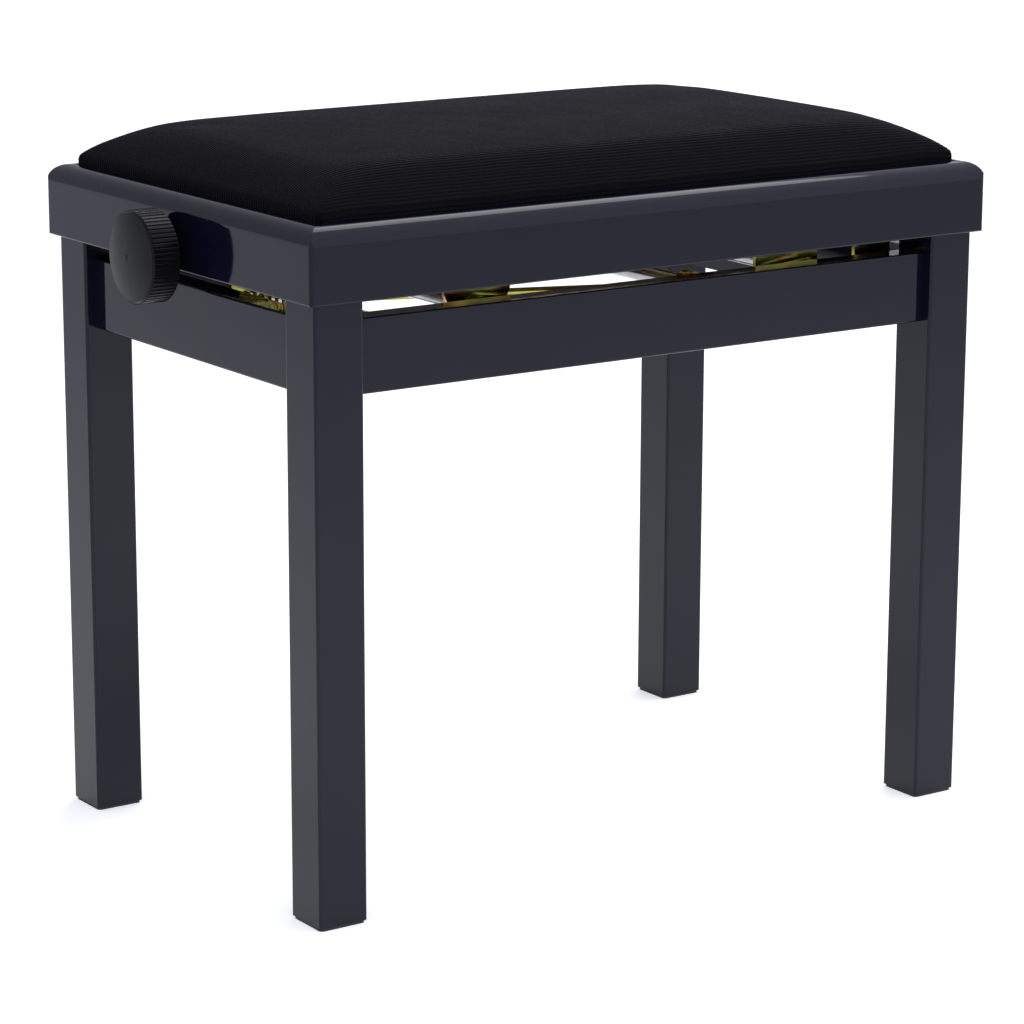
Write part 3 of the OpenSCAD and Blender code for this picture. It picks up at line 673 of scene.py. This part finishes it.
THREAD_OUTER = 7.0 * MM                 # radii of the thread
THREAD_CORE = 5.6 * MM
THREAD_LEAD = 5.0 * MM
THREAD_END = 0.205                      # the thread runs this far each way from the middle
THREAD_FADE = 4 * MM                    # and fades out over this
JOURNAL = 6.0 * MM                      # radius in the bearing plates
KNOB_SEAT = 5.0 * MM                    # radius inside the knobs
END_CHAMFER = 0.6 * MM
SCREW_SIDES = 28
STEPS_PER_LEAD = 10


def screw_stations(end):
    """The screw's sections from end to end, as (x, radius); in the thread the radius is None."""
    left = [
        (end, KNOB_SEAT - END_CHAMFER), (end + END_CHAMFER, KNOB_SEAT),
        (-276.2 * MM, KNOB_SEAT), (-276 * MM, JOURNAL),
        (-240.9 * MM, JOURNAL), (-240.7 * MM, THREAD_OUTER),
        (-THREAD_END - 1 * MM, THREAD_OUTER),
    ]
    n = int(2 * THREAD_END / THREAD_LEAD * STEPS_PER_LEAD)
    thread = [(-THREAD_END + 2 * THREAD_END * i / n, None) for i in range(n + 1)]
    return left + thread + [(-x, radius) for x, radius in reversed(left)]


def thread_radius(x, angle):
    """Radius of the trapezoidal thread at a place along and round the screw."""
    phase = (x / THREAD_LEAD - angle / (2 * math.pi)) % 1.0
    tooth = np.clip(0.5 + 1.6 * math.cos(2 * math.pi * phase), 0, 1)
    fade = min(1.0, (THREAD_END - abs(x)) / THREAD_FADE)
    return THREAD_OUTER - (THREAD_OUTER - THREAD_CORE) * (1 - tooth) * max(fade, 0.0)


def threaded_spindle():
    """The lift's screw: a trapezoidal thread between plain journals, chamfered at its ends."""
    low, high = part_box("spindle")
    axis_z = (low[2] + high[2]) / 2
    stations = screw_stations(low[0])
    around = SCREW_SIDES
    points = []
    for x, radius in stations:
        for j in range(around):
            a = 2 * math.pi * j / around
            r = thread_radius(x, a) if radius is None else radius
            points.append((x, r * math.cos(a), axis_z + r * math.sin(a)))
    faces = []
    for i in range(len(stations) - 1):
        near, far = i * around, (i + 1) * around
        for j in range(around):
            k = (j + 1) % around
            faces.append((near + j, far + j, far + k, near + k))
    last = (len(stations) - 1) * around
    faces.append(tuple(range(around)))
    faces.append(tuple(reversed(range(last, last + around))))
    screw = mesh_piece("lift_screw", points, faces, "yellow_zinc")
    screw.data.set_sharp_from_angle(angle=math.radians(40))
    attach(screw, "spindle_unit")
    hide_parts("spindle")


cushion()
assist_spring()
threaded_spindle()


# ---------------------------------------------------------------- stage, light and camera

FLOOR_HALF = 20.0
GLOW_CENTRE = (0.20, -0.35, 0.0)        # a little to the front right of the bench
GLOW_RADIUS = 2.6
GLOW_LEVELS = ((0.0, 0.52), (0.22, 0.50), (0.55, 0.30), (1.0, 0.05))    # by share of the radius


def stage_floor():
    """White floor that glows a little near the bench, so that the bench's shadow stays faint."""
    corners = [(x * FLOOR_HALF, y * FLOOR_HALF, 0) for x, y in ((-1, -1), (1, -1), (1, 1), (-1, 1))]
    data = bpy.data.meshes.new("floor")
    data.from_pydata(corners, [], [(0, 1, 2, 3)])
    floor = bpy.data.objects.new("floor", data)
    bpy.context.scene.collection.objects.link(floor)
    m = Nodes("floor")
    grain = m.noise(m.position(), 40.0, detail=3.0)
    length = m.add("VectorMath", operation="LENGTH")
    centred = m.add("VectorMath", operation="SUBTRACT")
    m.link(m.position(), centred.inputs[0])
    centred.inputs[1].default_value = GLOW_CENTRE
    m.link(centred.outputs["Vector"], length.inputs[0])
    glow = m.ramp(m.scalar("DIVIDE", length.outputs["Value"], GLOW_RADIUS), GLOW_LEVELS)
    m.shade(Base_Color=m.ramp(grain, [(0.3, 0.80), (0.7, 0.82)]), Roughness=0.9)
    m.shade(Emission_Color=glow, Emission_Strength=1.0)
    data.materials.append(m.material)


def area_light(name, place, aim, size, power, colour):
    """Rectangular lamp at a place, pointed at its aim."""
    light = bpy.data.lights.new(name, "AREA")
    light.shape = "RECTANGLE"
    light.size, light.size_y = size
    light.energy = power
    light.color = colour
    lamp = bpy.data.objects.new(name, light)
    bpy.context.scene.collection.objects.link(lamp)
    lamp.location = place
    lamp.rotation_euler = (Vector(aim) - Vector(place)).to_track_quat("-Z", "Y").to_euler()


SOFTBOX_WAY = (0.50, -0.74, 0.45)       # from the bench towards the bright side of the surround
SKY_LEVELS = ((0.25, 0.54), (0.88, 1.38))   # share of the way round to it, and the brightness there
SKY_TINT = (0.86, 0.88, 1.0)
ROW_HEADING = math.radians(34.5)        # the row of lights runs this far right of straight back
LIGHT_ROW = (                           # distance behind the middle, distance aside, and power
    (0.6, 0.5, 8.0),
    (2.2, 0.35, 9.0),
    (4.0, 0.0, 18.0),
    (6.2, 0.0, 26.0),
)
LIGHT_HEIGHT = 1.7
LIGHT_SIZE = (0.9, 0.9)
LIGHT_COLOUR = (1.0, 0.985, 0.97)


def studio():
    """A row of overhead lights away from the camera, and a cool surround, brighter front right."""
    world = bpy.data.worlds.new("studio")
    bpy.context.scene.world = world
    world.use_nodes = True
    tree = world.node_tree
    background = tree.nodes["Background"]
    background.inputs["Strength"].default_value = 1.0
    towards = tree.nodes.new("ShaderNodeVectorMath")
    towards.operation = "DOT_PRODUCT"
    tree.links.new(tree.nodes.new("ShaderNodeTexCoord").outputs["Generated"], towards.inputs[0])
    towards.inputs[1].default_value = SOFTBOX_WAY
    sky = tree.nodes.new("ShaderNodeValToRGB")
    sky.color_ramp.interpolation = "EASE"
    for element, (place, level) in zip(sky.color_ramp.elements, SKY_LEVELS):
        element.position = place
        element.color = (*(tint * level for tint in SKY_TINT), 1.0)
    half = tree.nodes.new("ShaderNodeMath")
    half.operation = "MULTIPLY_ADD"
    half.inputs[1].default_value = 0.5
    half.inputs[2].default_value = 0.5
    tree.links.new(towards.outputs["Value"], half.inputs[0])
    tree.links.new(half.outputs["Value"], sky.inputs["Fac"])
    tree.links.new(sky.outputs["Color"], background.inputs["Color"])
    ahead = Vector((math.sin(ROW_HEADING), math.cos(ROW_HEADING), 0.0))
    right = Vector((ahead.y, -ahead.x, 0.0))
    for i, (distance, aside, power) in enumerate(LIGHT_ROW):
        below = ahead * distance + right * aside
        place = below + Vector((0, 0, LIGHT_HEIGHT))
        area_light(f"strip_{i}", place, below, LIGHT_SIZE, power, LIGHT_COLOUR)
    bpy.context.scene.view_settings.view_transform = "Standard"


CAMERA_LENS = 126.17                    # mm, for the sensor's width of 36 mm
CAMERA_PLACE = (-1.4058, -2.0391, 0.8035)
CAMERA_TURN = (76.514, -0.175, -34.462)     # degrees about X, Y and Z


def camera():
    """Three-quarter view from the front left corner, a little above the seat."""
    data = bpy.data.cameras.new("camera")
    data.sensor_width = 36.0
    data.lens = CAMERA_LENS
    data.clip_end = 100.0
    view = bpy.data.objects.new("camera", data)
    bpy.context.scene.collection.objects.link(view)
    view.location = CAMERA_PLACE
    view.rotation_euler = [math.radians(angle) for angle in CAMERA_TURN]
    bpy.context.scene.camera = view


stage_floor()
studio()
camera()
